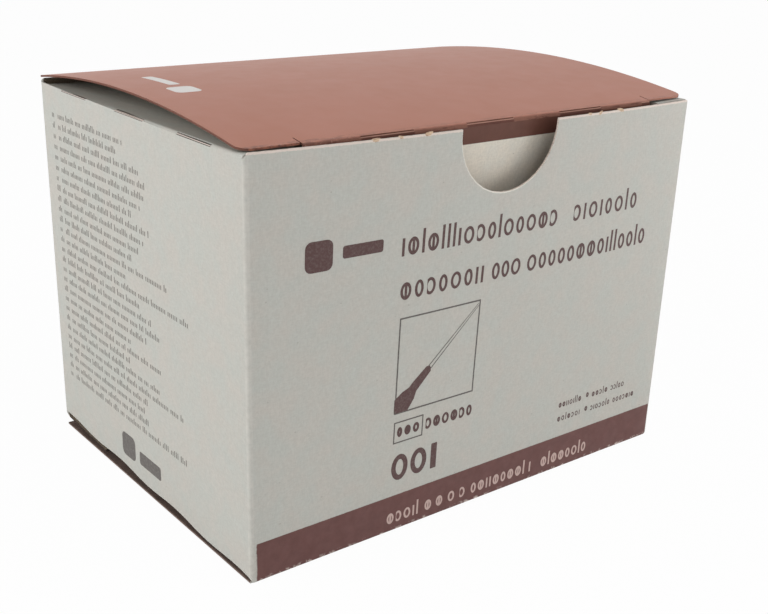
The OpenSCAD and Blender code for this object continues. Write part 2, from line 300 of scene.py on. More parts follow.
def paperColour(surface, warm="greyWarm", cool="greyCool"):
    # mottled recycled fibre: faint warm and cool patches, short fibres and a few darker flecks
    patches = surface.ramp(surface.noise(150, 3, 0.55), 0.36, 0.64)
    base = surface.blend(patches, colour[warm], colour[cool])
    weave = surface.plus(surface.fibres((2600, 2600, 900), (0.3, 0.5, 0.4)),
                         surface.fibres((900, 900, 2600), (0.5, 0.2, 0.9)))
    base = surface.blend(surface.ramp(weave, 0.8, 1.25, 0.18, 0.0), base, colour["fleck"])
    distance, chance = surface.specks(260, surface.place((1, 1, 1.6)))
    dots = surface.times(surface.ramp(distance, 0.04, 0.09, 0.4, 0.0), surface.ramp(chance, 0.8, 0.82))
    return surface.blend(dots, base, colour["fleck"]), weave


def mottledInk(surface, deep, tone):
    return surface.blend(surface.ramp(surface.noise(420, 4, 0.6), 0.35, 0.7), colour[deep], colour[tone])


# Cuts along the side folds, and along the lid's front fold
slits = {
    "pitch": 31 * mm,
    "half": 7.5 * mm,
    "soft": 0.2 * mm,
    "width": 0.07 * mm,
    "sideHeight": 101.05 * mm,
    "sideLines": ((0.3, "slit"), (-1.7, "cutEdge"), (-3.8, "slit")),   # widths above sideHeight, tone
    "lidShift": 2 * mm,
}

frontPanel = {
    "planeY": -51.2 * mm,            # the front panel lies before it
    "foldX": 69.1 * mm,
    "leftFold": 120.8 * mm,          # -(x + y) where the left front fold begins
    "foldRub": 0.4 * mm,
    "halfWidth": 70 * mm,            # at the foot; the side panels lean out to the box's width
    "wallHeight": 101 * mm,
    "bandTop": 10.3 * mm,
    "bandLeft": -68.4 * mm,
    "bandWobble": 0.06 * mm,
    "bandFray": 0.12 * mm,
    "footWear": (1.3 * mm, 0.4 * mm),
    "freeEdge": 102 * mm,
    "edgeFall": 0.01,                # the free edge falls this steeply from the middle to the right
    "edgeWear": 0.42 * mm,
    "edgeFray": 0.2 * mm,
    "notch": (0.8 * mm, 100.8 * mm, 15.5 * mm),   # centre x, centre z, radius
    "notchRim": 0.3 * mm,
    "notchFray": 0.08 * mm,
    "soft": 0.1 * mm,
}


def squareX(surface):
    # x with the side panels' outward lean taken off
    half = frontPanel["halfWidth"]
    growth = (bodyHigh.x - half) / frontPanel["wallHeight"] / half
    grown = surface.plus(surface.times(surface.axis("Z"), growth), 1.0)
    return surface.math("DIVIDE", surface.axis("X"), grown)


def footBand(surface, x, z):
    # 1 within the maroon band's height and width, its edges a little rough
    soft, wobble, fray = (frontPanel[key] for key in ("soft", "bandWobble", "bandFray"))
    wavyZ = surface.plus(z, surface.ramp(surface.noise(900, 2), 0, 1, -wobble, wobble))
    low = surface.upTo(wavyZ, frontPanel["bandTop"] + soft / 2, soft)
    frayedX = surface.plus(x, surface.uneven(800, -fray, fray, 3, 0.6))
    fromLeft = surface.past(frayedX, frontPanel["bandLeft"] - soft, 3 * soft)
    toRight = surface.upTo(x, frontPanel["foldX"] + 2 * soft, 2 * soft)
    return surface.times(low, surface.times(fromLeft, toRight))


def notchRim(surface):
    # 1 along the thumb notch's pale worn lip, with painted highlight making it strongest on its left and foot
    centreX, centreZ, radius = frontPanel["notch"]
    rim, fray = frontPanel["notchRim"], frontPanel["notchFray"]
    x = surface.minus(surface.axis("X"), centreX)
    z = surface.minus(surface.axis("Z"), centreZ)
    reach = surface.math("SQRT", surface.plus(surface.times(x, x), surface.times(z, z)))
    frayed = surface.plus(reach, surface.uneven(1400, -fray, fray, 3, 0.7))
    lip = surface.upTo(frayed, radius + rim, 0.3 * rim)
    return surface.times(lip, surface.ramp(x, 0.4 * radius, 0.8 * radius, 1.0, 0.25))


def freeEdge(surface, x, z):
    # 1 where the front panel's free top edge is frayed to pale fibre
    fall = surface.times(surface.larger(x, 0), frontPanel["edgeFall"])
    fray = surface.uneven(1400, 0, frontPanel["edgeFray"], 3, 0.7)
    height = surface.plus(z, surface.plus(fall, fray))
    return surface.past(height, frontPanel["freeEdge"] - frontPanel["edgeWear"], frontPanel["soft"])


def sideSlits(surface, base, x, y, z):
    # the cuts along the side folds: two dark lines of painted shade for their openings, with the pale cut
    # edge between them
    along = surface.upTo(surface.fromRepeat(y, slits["pitch"]), slits["half"], slits["soft"])
    onFold = surface.past(surface.size(x), frontPanel["foldX"] - 0.3 * mm, 0.3 * mm)
    within = surface.times(along, onFold)
    for shift, tone in slits["sideLines"]:
        away = surface.size(surface.minus(z, slits["sideHeight"] + shift * slits["width"]))
        line = surface.ramp(away, slits["width"], slits["width"] * 1.4, 1.0, 0.0)
        base = surface.blend(surface.times(line, within), base, colour[tone])
    return base


def printedBoard():
    # grey print on all outer faces, with the maroon band at the foot of the front panel
    surface = Surface("printed_board")
    base, weave = paperColour(surface)
    x, y, z = squareX(surface), surface.axis("Y"), surface.axis("Z")
    onFront = surface.upTo(y, frontPanel["planeY"], frontPanel["soft"])
    band = surface.times(footBand(surface, x, z), onFront)
    base = surface.blend(band, base, mottledInk(surface, "maroonDeep", "maroon"))
    # the left front fold is rubbed a little paler, and the foot is worn in places
    reach = surface.minus(surface.times(surface.plus(x, y), -1), frontPanel["leftFold"])
    rubbed = surface.times(surface.past(reach, 0, frontPanel["foldRub"]),
                           surface.ramp(surface.noise(500, 4, 0.7), 0.35, 0.62, 0.1, 0.7))
    base = surface.blend(rubbed, base, colour["crease"])
    foot = surface.times(surface.ramp(z, *frontPanel["footWear"]),
                         surface.ramp(surface.noise(520, 4, 0.7), 0.52, 0.62))
    base = surface.blend(foot, base, colour["cutEdge"])
    base = surface.blend(surface.times(freeEdge(surface, x, z), onFront), base, colour["cutEdge"])
    # the notch's pale lip, brightened on its left and foot as painted highlight
    base = surface.blend(surface.times(notchRim(surface), onFront), base, colour["rim"])
    base = sideSlits(surface, base, x, y, z)
    surface.bump(surface.plus(weave, surface.noise(420, 3)), 0.02 * mm, 0.5)
    return surface.finish(base, surface.uneven(300, 0.55, 0.65), 0.3)


lidFold = {
    "creaseY": lidLow.y + 0.65 * mm,
    "stripY": lidLow.y + 0.2 * mm,
    "lipY": lidLow.y + 0.22 * mm,
    "lipHalf": 0.07 * mm,
    "rubY": lidLow.y + 0.9 * mm,
    "rubWidth": 1.5 * mm,
    "rubFray": 0.3 * mm,
    "rubEnds": (-60 * mm, -30 * mm),
}


def shadedFold(surface, base, x, y):
    # the lid's front fold: darker maroon ink with painted shade, deepest along its cuts and in patches, and a
    # painted highlight on a lip beside each cut
    strip = surface.ramp(y, lidFold["creaseY"], lidFold["stripY"])
    worn = surface.noise(1.0, 4, 0.7, surface.place((160, 900, 900)))
    alongCuts = surface.fromRepeat(surface.plus(x, slits["lidShift"]), slits["pitch"])
    beside = surface.upTo(alongCuts, slits["half"] + 0.3 * mm, 0.5 * mm)
    # painted shade, deepest beside the cuts and where the noise runs high
    darker = surface.larger(surface.times(beside, 0.85), surface.ramp(worn, 0.5, 0.62))
    base = surface.blend(strip, base, surface.blend(darker, colour["foldInkShaded"], colour["foldInkDeepShade"]))
    # a painted highlight along a lip beside each cut
    fromLip = surface.size(surface.minus(y, lidFold["lipY"]))
    lip = surface.ramp(fromLip, lidFold["lipHalf"], lidFold["lipHalf"] * 1.5, 0.8, 0.0)
    return surface.blend(surface.times(lip, beside), base, colour["foldLipHighlightAndBare"]), strip


def scuffedFold(surface, base, x, y):
    # dark patches and bare flecks behind the fold, worst at the left
    fray = lidFold["rubFray"]
    frayedY = surface.plus(y, surface.uneven(700, -fray, fray, 4, 0.7))
    away = surface.size(surface.minus(frayedY, lidFold["rubY"]))
    near = surface.ramp(away, lidFold["rubWidth"] * 0.3, lidFold["rubWidth"], 1.0, 0.0)
    near = surface.times(near, surface.ramp(x, *lidFold["rubEnds"], 0.85, 0.25))
    patchy = surface.ramp(surface.noise(1.0, 4, 0.75, surface.place((350, 900, 900))), 0.44, 0.56)
    base = surface.blend(surface.times(near, patchy), base, colour["lidFoldDarkPatch"])
    spots = surface.noise(1.0, 4, 0.75, surface.place((900, 1400, 1400), shift=(3, 1, 2)))
    bare = surface.times(near, surface.ramp(spots, 0.6, 0.66))
    return surface.blend(bare, base, colour["foldLipHighlightAndBare"])


def lidPrint():
    # rust print with a slight sheen, painted shade on the front fold, dark patches and bare flecks behind it,
    # and a little dust
    surface = Surface("lid_print")
    patches = surface.ramp(surface.noise(90, 4, 0.55), 0.35, 0.65)
    base = surface.blend(patches, colour["rust"], colour["rustPale"])
    x, y = surface.axis("X"), surface.axis("Y")
    base, strip = shadedFold(surface, base, x, y)
    base = scuffedFold(surface, base, x, y)
    distance, chance = surface.specks(120)
    dust = surface.times(surface.ramp(distance, 0.02, 0.03, 0.7, 0.0), surface.ramp(chance, 0.95, 0.96))
    base = surface.blend(dust, base, colour["white"])
    surface.bump(surface.noise(1500, 3), 0.01 * mm, 0.4)
    roughness = surface.larger(surface.uneven(200, 0.43, 0.47), surface.times(strip, 0.85))
    return surface.finish(base, roughness, 0.25)


tuckFlap = {
    "bandFoot": 97.0 * mm,
    "soft": 0.12 * mm,
}


def tuckPrint():
    # maroon next to the fold, then the grey board, painted lighter than the panels' grey as painted light
    # against the shade inside the notch
    surface = Surface("tuck_print")
    base, weave = paperColour(surface, "tuckWarmPaintedLight", "tuckCoolPaintedLight")
    onBand = surface.past(surface.axis("Z"), tuckFlap["bandFoot"] - tuckFlap["soft"] / 2, tuckFlap["soft"])
    base = surface.blend(onBand, base, mottledInk(surface, "tuckInkDeep", "tuckInk"))
    surface.bump(weave, 0.02 * mm, 0.4)
    return surface.finish(base, surface.uneven(300, 0.5, 0.6), 0.2)


def rawBoard():
    # unprinted inner face, brownish grey with visible fibres
    surface = Surface("raw_board")
    patches = surface.ramp(surface.noise(120, 4, 0.6), 0.25, 0.75)
    base = surface.blend(patches, colour["raw"], colour["rawDark"])
    fibres = surface.fibres((2400, 700, 2400), (0.2, 0.4, 0.7))
    base = surface.blend(surface.ramp(fibres, 0.5, 0.7, 0.0, 0.35), base, colour["cutEdge"])
    surface.bump(fibres, 0.03 * mm, 0.6)
    return surface.finish(base, surface.ramp(patches, 0, 1, 0.8, 0.9), 0.2)


def cutEdge(name, pale, dark):
    # layers of the board where it was cut
    surface = Surface(name)
    layers = surface.fibres((600, 600, 6000))
    base = surface.blend(surface.ramp(layers, 0.4, 0.8), colour[pale], colour[dark])
    surface.bump(layers, 0.04 * mm, 0.5)
    return surface.finish(base, surface.ramp(layers, 0, 1, 0.8, 0.95), 0.2)


footFlaps = {
    # painted shade, darkening the foot edges towards the fold
    "shade": (0.15 * mm, 0.9 * mm),   # the edges darken between these heights
}


def footEdge():
    # raw edges of the bottom flaps, with painted shade that darkens them towards the fold above
    surface = Surface("foot_edge_painted_shade")
    layers = surface.fibres((300, 300, 3000))
    upwards = surface.ramp(surface.axis("Z"), *footFlaps["shade"])
    tone = surface.plus(upwards, surface.ramp(layers, 0.3, 0.7, -0.2, 0.2))
    base = surface.blend(tone, colour["footEdge"], colour["footEdgePaintedShade"])
    surface.bump(layers, 0.04 * mm, 0.5)
    return surface.finish(base, surface.ramp(layers, 0, 1, 0.8, 0.95), 0.1)


def inkMaterial(name, tone, thin):
    # printed ink, through which some board shows where it is thin
    surface = Surface(name)
    thinner = surface.ramp(surface.noise(1600, 4, 0.7), 0.45, 0.75, 0.0, thin)
    base = surface.blend(thinner, colour[tone], colour["grey"])
    return surface.finish(base, surface.uneven(800, 0.48, 0.6, 2), 0.4)


printedBoardMaterial = printedBoard()
lidPrintMaterial = lidPrint()
tuckPrintMaterial = tuckPrint()
rawBoardMaterial = rawBoard()
cutEdgeMaterial = cutEdge("cut_edge", "cutEdge", "raw")
lidEdgeMaterial = cutEdge("lid_edge", "lidEdge", "lidEdgeDark")
footEdgeMaterial = footEdge()
tuftMaterial = cutEdge("torn_fibre", "tuft", "lidEdge")
inkDark = inkMaterial("ink_dark", "ink", 0.12)
inkFine = inkMaterial("ink_fine", "fineInk", 0.2)
inkLine = inkMaterial("ink_line", "lineInk", 0.2)
inkPale = inkMaterial("ink_pale", "paleInk", 0.0)
inkWhite = inkMaterial("ink_white", "white", 0.12)
print("materials made")


# Board shells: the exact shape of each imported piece, merged and dressed face by face

shells = {
    "merge": 0.002 * mm,
    "flat": math.radians(0.2),     # faces closer in angle than this become one
    "smooth": math.radians(28),
}


def copyOfNode(node, name):
    shell = bpy.data.objects.new(name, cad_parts[node].data.copy())
    bpy.context.scene.collection.objects.link(shell)
    shell.data.name = name
    shell.data.materials.clear()
    only(shell)
    bpy.ops.mesh.customdata_custom_splitnormals_clear()
    editAll(shell)
    bpy.ops.mesh.remove_doubles(threshold=shells["merge"])
    bpy.ops.mesh.dissolve_limited(angle_limit=shells["flat"])
    leaveEdit()
    return shell


def faceWidth(mesh, face):
    # about the narrow side of a long face
    points = [mesh.vertices[i].co for i in face.vertices]
    around = sum((points[i] - points[i - 1]).length for i in range(len(points)))
    return 2 * face.area / around


def dressFaces(shell, materials, rules):
    # each rule in turn claims the faces it accepts, the last material takes what is left
    for material in materials:
        shell.data.materials.append(material)
    for face in shell.data.polygons:
        claims = (index for index, rule in enumerate(rules) if rule(face))
        face.material_index = next(claims, len(rules))
    only(shell)
    bpy.ops.object.shade_smooth_by_angle(angle=shells["smooth"])


cartonFaces = {
    "sideX": bodyHigh.x - 1.7 * mm,   # the side panels lie beyond it, left and right
    "wallY": bodyHigh.y - 1.2 * mm,   # the front and rear panels lie beyond it
    "cutWidth": 0.6 * mm,             # a face narrower than this is a cut edge
    "frontRimFoot": 80 * mm,
    "topFlapFoot": 95 * mm,
    "bottomFlapTop": 5 * mm,
    "outerFlapTop": 0.55 * mm,
}


def makeCartonBoard():
    shell = copyOfNode("carton_body", "carton_board")
    sideX, wallY = cartonFaces["sideX"], cartonFaces["wallY"]

    def outwards(face):
        # how much a face of the four walls is turned to the outside
        centre, normal = face.center, face.normal
        sideways = normal.x * math.copysign(1, centre.x) * (abs(centre.x) > sideX)
        return sideways + normal.y * (centre.y > wallY) - normal.y * (centre.y < -wallY)

    def frontRim(face):
        centre = face.center
        return centre.y < -wallY and centre.z > cartonFaces["frontRimFoot"] and face.normal.z > 0.3

    def foot(face):
        centre, normal = face.center, face.normal
        # the outer flap's top and the bottom flaps' edges take the foot edge material, with its painted shade
        outerFlap = centre.z < cartonFaces["outerFlapTop"] and normal.z > -0.5 and centre.y > -wallY
        inside = abs(centre.y) < wallY and abs(centre.x) < sideX
        return outerFlap or (inside and centre.z < cartonFaces["bottomFlapTop"] and abs(normal.z) < 0.2)

    def printed(face):
        height, normal = face.center.z, face.normal
        topFlap = normal.z > 0.3 and height > cartonFaces["topFlapFoot"]
        underside = normal.z < -0.2 and height < cartonFaces["bottomFlapTop"]
        return outwards(face) > 0.3 or topFlap or underside

    def cut(face):
        narrow = faceWidth(shell.data, face) < cartonFaces["cutWidth"] and outwards(face) < 0.3
        return narrow and (abs(face.normal.z) > 0.3 or abs(face.center.x) < sideX)

    dressFaces(
        shell,
        [cutEdgeMaterial, footEdgeMaterial, printedBoardMaterial, cutEdgeMaterial, rawBoardMaterial],
        [frontRim, foot, printed, cut],
    )
    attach(shell, "carton")
    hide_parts("carton_body")
    return shell


lidFaces = {
    "tuckTop": 100.9 * mm,
    "tuckFoot": 85.5 * mm,
    "rear": 51.5 * mm,
    "slotFoot": 100.5 * mm,
    "slotY": (-50.75 * mm, -50.35 * mm),   # the walls of the cuts in the front fold lie between
}


def makeLidBoard():
    shell = copyOfNode("lid", "lid_board")
    slotFront, slotRear = lidFaces["slotY"]

    def edge(face):
        centre, normal = face.center, face.normal
        lowerEnd = normal.z < -0.8 and centre.z < lidFaces["tuckFoot"]
        rearEnd = normal.y > 0.8 and centre.y > lidFaces["rear"]
        inSlot = centre.z > lidFaces["slotFoot"] and slotFront < centre.y < slotRear
        return abs(normal.x) > 0.25 or lowerEnd or rearEnd or (inSlot and abs(normal.y) > 0.999)

    def tuckFront(face):
        return face.normal.y < -0.3 and face.center.z < lidFaces["tuckTop"]

    def outer(face):
        return face.center.z > lidFaces["tuckTop"] and (face.normal.z > 0.05 or face.normal.y < -0.3)

    dressFaces(
        shell,
        [lidEdgeMaterial, tuckPrintMaterial, lidPrintMaterial, rawBoardMaterial],
        [edge, tuckFront, outer],
    )
    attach(shell, "lid")
    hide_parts("lid")
    return shell


cartonBoard = makeCartonBoard()
lidBoard = makeLidBoard()
print("board shells dressed")


# Print, as thin ink shapes laid on the board. Each is drawn flat, x to the right and y up, in mm

ink = {
    "thickness": 0.02 * mm,
    "lift": 0.008 * mm,
    "drawnAt": 8 * mm,     # a drawing starts this far outside its panel
    "cutEvery": 3,         # mm between cuts, so that a drawing can follow the board
}


def middleOf(left, right, low, high):
    return ((left + right) / 2 * mm, (low + high) / 2 * mm, 0)


def sized(width, height):
    # the primitive just added is given its size and opened in edit mode
    shape = bpy.context.object
    shape.scale = (width * mm, height * mm, 1)
    settle(shape)
    editAll(shape)
    return shape


def bar(left, right, low, high, roundness=0.0):
    # a plain bar, its corners rounded if asked
    deselect()
    bpy.ops.mesh.primitive_plane_add(size=1, location=middleOf(left, right, low, high))
    shape = sized(right - left, high - low)
    if roundness:
        bpy.ops.mesh.bevel(offset=roundness * mm, segments=4, affect="VERTICES")
        bpy.ops.mesh.select_all(action="SELECT")
    for start, end, direction in ((left, right, Vector((1, 0, 0))), (low, high, Vector((0, 1, 0)))):
        cuts = int((end - start) / ink["cutEvery"])
        for index in range(1, cuts + 1):
            place = start + index * (end - start) / (cuts + 1)
            bpy.ops.mesh.bisect(plane_co=direction * place * mm, plane_no=direction)
            bpy.ops.mesh.select_all(action="SELECT")
    leaveEdit()
    return shape


def tapered(length, startWidth, endWidth, place, angle):
    # a bar that narrows from one end to the other, turned about its start
    deselect()
    bpy.ops.mesh.primitive_plane_add(size=1)
    shape = bpy.context.object
    for vertex in shape.data.vertices:
        width = endWidth if vertex.co.x > 0 else startWidth
        vertex.co = ((vertex.co.x + 0.5) * length * mm, vertex.co.y * width * mm, 0)
    start = Matrix.Translation((place[0] * mm, place[1] * mm, 0))
    shape.data.transform(start @ Matrix.Rotation(math.radians(angle), 4, "Z"))
    editAll(shape)
    bpy.ops.mesh.subdivide(number_cuts=3)
    leaveEdit()
    return shape


def clipped(shape, place, direction):
    # the part of a drawing that lies behind the line through place
    editAll(shape)
    bpy.ops.mesh.bisect(plane_co=[value * mm for value in place] + [0], plane_no=list(direction) + [0],
                        clear_outer=True)
    leaveEdit()
    return shape


def patch(points):
    # a filled shape through the points
    deselect()
    bpy.ops.mesh.primitive_circle_add(vertices=len(points), radius=1, fill_type="NGON")
    shape = bpy.context.object
    for vertex, (x, y) in zip(shape.data.vertices, points):
        vertex.co = (x * mm, y * mm, 0)
    editAll(shape)
    bpy.ops.mesh.quads_convert_to_tris()
    bpy.ops.mesh.normals_make_consistent(inside=False)
    leaveEdit()
    return shape


def hollowed(shape, line):
    # only a line's width is kept round the edge of the shape in edit mode
    bpy.ops.mesh.inset(thickness=line * mm, depth=0)
    bpy.ops.mesh.delete(type="FACE")
    leaveEdit()
    return shape


def outline(left, right, low, high, line):
    # an open rectangle of a thin line
    deselect()
    across, upwards = (max(2, int(length / ink["cutEvery"])) for length in (right - left, high - low))
    bpy.ops.mesh.primitive_grid_add(x_subdivisions=across, y_subdivisions=upwards, size=1,
                                    location=middleOf(left, right, low, high))
    return hollowed(sized(right - left, high - low), line)


def ring(centreX, centreY, halfWidth, halfHeight, line):
    # an oval ring
    deselect()
    bpy.ops.mesh.primitive_circle_add(vertices=40, radius=1, fill_type="NGON",
                                      location=(centreX * mm, centreY * mm, 0))
    return hollowed(sized(halfWidth, halfHeight), line)


def signs(xHeight, tallHeight, weight):
    # plain rings and stems in place of print, each drawn once from x = 0: (width, drawing)
    wide, narrow = 0.74 * xHeight, 0.6 * xHeight
    gapAt = 0.2 * wide

    def oval(width):
        return ring(width / 2, xHeight / 2, width / 2, xHeight / 2, weight)

    def stem(x, low, high):
        return bar(x, x + weight, low, high)

    gapped = clipped(oval(wide), (gapAt, 0), (-1, 0))
    gapped.data.transform(Matrix.Translation((-gapAt * mm, 0, 0)))
    return [
        (wide, oval(wide)),
        (narrow, oval(narrow)),
        (wide, joined([oval(wide), stem((wide - weight) / 2, weight, xHeight - weight)], "split_oval")),
        (wide - gapAt, gapped),
        (weight, stem(0, 0, xHeight)),
        (weight, stem(0, 0, tallHeight)),
    ]


def signRow(kinds, left, right, foot, gap, draw):
    # a row of signs that fills the space from left to right
    picks, room = [], right - left
    while room > 0:
        width, drawing = draw.choice(kinds)
        picks.append((width, drawing))
        room -= width + gap
    if len(picks) > 1 and room < -0.35 * (picks[-1][0] + gap):
        room += picks.pop()[0] + gap
    spread = gap + (room + gap) / max(1, len(picks) - 1)
    place, copies = left, []
    for width, drawing in picks:
        made = duplicate(drawing)
        made.data.transform(Matrix.Translation((place * mm, foot * mm, 0)))
        copies.append(made)
        place += width + spread
    return copies


def signPrint(text, draw):
    # all words of one print, each filled with signs
    kinds = signs(*text["sign"])
    shapes = []
    for foot, words in text["rows"]:
        for left, right in words:
            shapes += signRow(kinds, left, right, foot, text["gap"], draw)
    for width, drawing in kinds:
        bpy.data.objects.remove(drawing)
    return shapes


def strokes(left, right, foot, heights, pitch, draw):
    # a run of upright strokes in place of fine print: a grid whose gaps are deleted
    xHeight, tallHeight = heights
    columns = 3   # of the grid to each stroke, of which the first is kept
    count = max(3, round((right - left) / pitch))
    step = (right - left) / count
    deselect()
    bpy.ops.mesh.primitive_grid_add(x_subdivisions=count * columns, y_subdivisions=2, size=1,
                                    location=middleOf(left, right, foot, foot + 2 * xHeight))
    shape = sized(right - left, 2 * xHeight)
    leaveEdit()
    tall, blank, run = set(), set(), draw.randint(3, 8)
    for index in range(count):
        run -= 1
        if run == 0:
            blank.add(index)
            run = draw.randint(4, 11)
        elif draw.random() < 0.22:
            tall.add(index)

    def gap(face):
        place = (face.center.x / mm - left) / step
        index = int(place)
        upper = face.center.y / mm > foot + xHeight
        return int((place - index) * columns) > 0 or index in blank or (upper and index not in tall)

    editFaces(shape, gap)
    bpy.ops.mesh.delete(type="FACE")
    leaveEdit()
    # the upper row is shortened to the tall strokes' height
    for vertex in shape.data.vertices:
        if vertex.co.y / mm > foot + 1.5 * xHeight:
            vertex.co.y = (foot + tallHeight) * mm
    return shape


def layOn(shapes, name, material, board, turn, start, direction):
    # the drawing is turned to face its panel, laid on it, and given the ink's thickness
    drawing = joined(shapes, name)
    drawing.data.transform(Matrix.Translation(start) @ turn.to_4x4())
    applyModifier(drawing, "SHRINKWRAP", target=board, wrap_method="PROJECT", use_project_x=direction == "X",
                  use_project_y=direction == "Y", use_project_z=direction == "Z", use_negative_direction=True,
                  use_positive_direction=True, offset=ink["lift"], wrap_mode="ABOVE_SURFACE")
    applyModifier(drawing, "SOLIDIFY", thickness=ink["thickness"], offset=1.0)
    giveMaterial(drawing, material)
    return drawing


upright = Matrix.Rotation(math.radians(90), 3, "X")
leftwards = Matrix.Rotation(math.radians(-90), 3, "Z")
panels = {
    # how a drawing is turned to face the panel, where it starts, and along which axis it is laid
    "front": (upright, (0, bodyLow.y - ink["drawnAt"], 0), "Y"),
    "left": (leftwards @ upright, (bodyLow.x - ink["drawnAt"], 0, 0), "X"),
    "lid": (Matrix.Identity(3), (0, 0, lidHigh.z + ink["drawnAt"]), "Z"),
}


def printOn(panel, shapes, name, material):
    drawing = layOn(shapes, name, material, cartonBoard, *panels[panel])
    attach(drawing, "carton")


# What is printed where, in mm on its panel

title = {
    "sign": (4.4, 6.0, 0.76),   # height, height of a tall stem, weight
    "gap": 0.85,
    "rows": [
        # foot, then left and right of each word
        (73.8, [(-30.2, 20.2), (26.5, 52.0)]),
        (62.8, [(-29.9, -4.0), (-1.2, 8.6), (11.0, 57.6)]),
    ],
}

number = {"sign": (3.1, 3.1, 0.68), "gap": 0.6, "rows": [(26.3, [(-19.2, -3.8)])]}
framedNumber = {"sign": (2.7, 2.7, 0.75), "gap": 0.6, "rows": [(26.5, [(-28.3, -21.3)])]}

smallPrint = {
    "sign": (1.5, 2.2, 0.27),
    "gap": 0.35,
    "rows": [
        (19.3, [(29.5, 38.5)]), (19.7, [(40.5, 41.0)]), (19.3, [(43.0, 49.5), (51.0, 56.6)]),
        (15.0, [(29.5, 38.5)]), (15.4, [(40.5, 41.0)]), (15.0, [(43.0, 51.0), (52.5, 61.5)]),
    ],
}

bandPrint = {
    "sign": (3.0, 4.2, 0.55),
    "gap": 0.65,
    "rows": [
        (2.4, [(-30.2, -20.0), (-17.8, -16.0), (-14.0, -4.0), (-1.8, 18.0), (19.8, 22.0), (24.4, 42.6)]),
    ],
}

frontMarks = {
    "bars": [
        (-56.4, -49.2, 73.8, 81.0, 1.6),
        (-46.6, -35.6, 75.9, 78.9, 0.6),
        (-16.8, -14.9, 14.4, 21.6, 0.2),
    ],
    "rings": [
        (-26.9, 18.0, 2.6, 3.6, 1.4),
        (-20.8, 18.0, 2.6, 3.6, 1.4),
    ],
}

pictogram = {
    "frame": (-29.5, -4.0, 33.0, 58.3, 0.4),
    "numberFrame": (-29.4, -20.1, 24.9, 30.8, 0.35),
    "hub": [(-29.7, 33.2), (-25.5, 33.2), (-23.6, 36.0), (-23.0, 37.9), (-18.8, 42.3), (-18.8, 43.3),
            (-19.3, 43.9), (-20.3, 43.8), (-24.3, 40.5), (-25.4, 39.4), (-27.4, 38.6), (-29.7, 37.0)],
    "tube": (20.2, 0.26, 0.14),    # length, and a side's width at the hub and at the point
    "tubeFoot": (-19.2, 43.4),
    "tubeGap": 0.75,
    "angles": (43.9, 42.3),
}


def makePictogram():
    printOn("front", [patch(pictogram["hub"])], "pictogram_print", inkDark)
    x, y = pictogram["tubeFoot"]
    half = pictogram["tubeGap"] / 2
    lines = [outline(*pictogram["frame"]), outline(*pictogram["numberFrame"])]
    for side, angle in zip((1, -1), pictogram["angles"]):
        lines.append(tapered(*pictogram["tube"], (x + side * half, y - side * half), angle))
    printOn("front", lines, "frame_print", inkLine)


def makeFrontPrint():
    draw = random.Random(5)
    printOn("front", signPrint(title, draw), "title_print", inkDark)
    marks = [bar(*sizes) for sizes in frontMarks["bars"]] + [ring(*sizes) for sizes in frontMarks["rings"]]
    printOn("front", marks, "mark_print", inkDark)
    makePictogram()
    printOn("front", signPrint(number, draw) + signPrint(framedNumber, draw), "number_print", inkDark)
    printOn("front", signPrint(smallPrint, draw), "small_print", inkDark)
    printOn("front", signPrint(bandPrint, draw), "band_print", inkPale)


sidePrint = {
    "top": 93.0,
    "pitch": 2.885,
    "heights": (1.1, 1.7),
    "start": -41.8,
    "strokePitch": 0.85,
    "code": (-45.4, -43.2),
    "codePitch": 0.8,
    "lengths": (38, 35, 46, 49, 49, 46, 41, 50, 47, 44, 40, 58, 36, 68,
                43, 49, 54, 46, 37, 54, 36, 52, 64, 45, 44, 45, 65),
    "marks": [(-13.5, -5.9, 6.6, 13.4, 1.6), (-3.4, 8.4, 7.4, 11.2, 0.6)],
}


def makeSidePrint():
    draw = random.Random(11)
    start, heights = sidePrint["start"], sidePrint["heights"]
    shapes = []
    for row, length in enumerate(sidePrint["lengths"]):
        foot = sidePrint["top"] - row * sidePrint["pitch"]
        shapes.append(strokes(start, start + length, foot, heights, sidePrint["strokePitch"], draw))
        shapes.append(strokes(*sidePrint["code"], foot, heights, sidePrint["codePitch"], draw))
    printOn("left", shapes, "side_print", inkFine)
    printOn("left", [bar(*sizes) for sizes in sidePrint["marks"]], "side_mark_print", inkLine)


lidMark = {
    # it reads from the left: its length runs along y
    "bars": [(-61.3, -54.3, -6.9, 0.1, 1.6), (-58.1, -55.1, 3.2, 18.4, 0.6)],
}


def makeLidPrint():
    shapes = [bar(*sizes) for sizes in lidMark["bars"]]
    drawing = layOn(shapes, "lid_mark_print", inkWhite, lidBoard, *panels["lid"])
    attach(drawing, "lid")


makeFrontPrint()
makeSidePrint()
makeLidPrint()
print("print laid on the panels")


# Torn fibre nicks on the front panel's free edge, in mm

nicks = {
    # x on the edge: share of the full size
    "places": {-39.0: 1.0, -32.3: 0.75, -24.6: 1.15, 28.2: 0.8, 32.3: 0.75, 40.2: 0.95},
    "size": (1.25, 0.26, 0.46),
    "top": 101.9,
    "sunk": 0.02,
}


def bowAt(x):
    # where the front panel's outer face is at its top edge
    wall, crest = bodyHigh.y / mm, -bodyLow.y / mm
    return -wall - (crest - wall) * (1 - (x * mm / frontPanel["foldX"]) ** 2)


